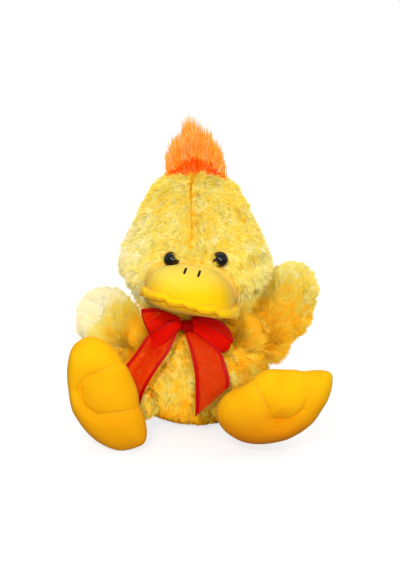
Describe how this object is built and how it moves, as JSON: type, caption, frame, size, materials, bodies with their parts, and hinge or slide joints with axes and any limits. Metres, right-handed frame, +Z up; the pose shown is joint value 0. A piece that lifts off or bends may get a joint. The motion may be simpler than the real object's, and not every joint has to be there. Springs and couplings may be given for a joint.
{
  "type": "plush duck",
  "caption": "Seated plush duck with a domed bill, stuffed wings and feet that turn at their seams, a fur crest and a tied ribbon at the throat.",
  "frame": {"origin": "on the floor, in the middle of the flat seat", "axes": "+Z up; the duck faces -Y; its own left side is +X"},
  "size_m": [0.2575, 0.221, 0.3105],
  "materials": {
    "yellow_pile": "long soft pile",
    "orange_velboa": "short smooth pile",
    "yellow_velboa": "short smooth pile",
    "orange_fur": "long straight fur",
    "white_fibre": "loose fibre filling",
    "pellet_bag_cotton": "plain weave",
    "dark_brown_plastic": "polished",
    "white_plastic": "moulded",
    "black_thread": "satin stitch",
    "red_organza": "sheer weave with satin edges"
  },
  "bodies": {
    "torso": {"pellet_bag": "pellet_bag_cotton", "ribbon_end_left": "red_organza", "ribbon_end_right": "red_organza", "ribbon_knot": "red_organza", "ribbon_loop_left": "red_organza", "ribbon_loop_right": "red_organza", "ribbon_neck_band": "red_organza", "tail": "yellow_pile", "torso_cover": "yellow_pile", "torso_filling": "white_fibre"},
    "neck": {"neck_roll": "yellow_pile"},
    "head": {"bill_filling": "white_fibre", "bill_lower": "yellow_velboa", "bill_upper": "yellow_velboa", "crest": "orange_fur", "eye_left": "dark_brown_plastic", "eye_right": "dark_brown_plastic", "eye_washer_left": "white_plastic", "eye_washer_right": "white_plastic", "head_cover": "yellow_pile", "head_filling": "white_fibre", "nostril_stitch_left": "black_thread", "nostril_stitch_right": "black_thread"},
    "wing_left": {"wing_left_cover": "yellow_pile", "wing_left_filling": "white_fibre"},
    "wing_right": {"wing_right_cover": "yellow_pile", "wing_right_filling": "white_fibre"},
    "leg_left": {"leg_left_cover": "yellow_pile", "leg_left_filling": "white_fibre"},
    "leg_right": {"leg_right_cover": "yellow_pile", "leg_right_filling": "white_fibre"},
    "foot_left": {"foot_left_cover": "orange_velboa", "foot_left_filling": "white_fibre"},
    "foot_right": {"foot_right_cover": "orange_velboa", "foot_right_filling": "white_fibre"}
  },
  "joints": [
    {"name": "neck_nod", "type": "hinge", "parent": "torso", "child": "neck", "pos_m": [0, -0.009, 0.107], "axis": [1, 0, 0], "range_deg": [-8, 4], "stiffness_Nm_per_rad": 1.2},
    {"name": "head_turn", "type": "hinge", "parent": "neck", "child": "head", "pos_m": [0, -0.009, 0.107], "axis": [0, 0, 1], "range_deg": [-25, 25], "stiffness_Nm_per_rad": 0.4},
    {"name": "wing_left_swing", "type": "hinge", "parent": "torso", "child": "wing_left", "pos_m": [0.0725, 0.014, 0.077], "axis": [0.1037, -0.9631, 0.2484], "range_deg": [-45, 6], "stiffness_Nm_per_rad": 0.3},
    {"name": "wing_right_swing", "type": "hinge", "parent": "torso", "child": "wing_right", "pos_m": [-0.0725, 0.014, 0.077], "axis": [-0.4518, -0.5872, 0.6716], "range_deg": [-15, 45], "stiffness_Nm_per_rad": 0.3},
    {"name": "leg_left_swing", "type": "hinge", "parent": "torso", "child": "leg_left", "pos_m": [0.053, -0.047, 0.036], "axis": [0, 0, 1], "range_deg": [-15, 20], "stiffness_Nm_per_rad": 0.4},
    {"name": "leg_right_swing", "type": "hinge", "parent": "torso", "child": "leg_right", "pos_m": [-0.053, -0.047, 0.036], "axis": [0, 0, 1], "range_deg": [-20, 15], "stiffness_Nm_per_rad": 0.4},
    {"name": "foot_left_flex", "type": "hinge", "parent": "leg_left", "child": "foot_left", "pos_m": [0.07662, -0.07671, 0.0379], "axis": [1, 0, 0], "range_deg": [-12, 12], "stiffness_Nm_per_rad": 0.5},
    {"name": "foot_right_flex", "type": "hinge", "parent": "leg_right", "child": "foot_right", "pos_m": [-0.08155, -0.06698, 0.05116], "axis": [1, 0, 0], "range_deg": [-12, 3], "stiffness_Nm_per_rad": 0.5}
  ]
}
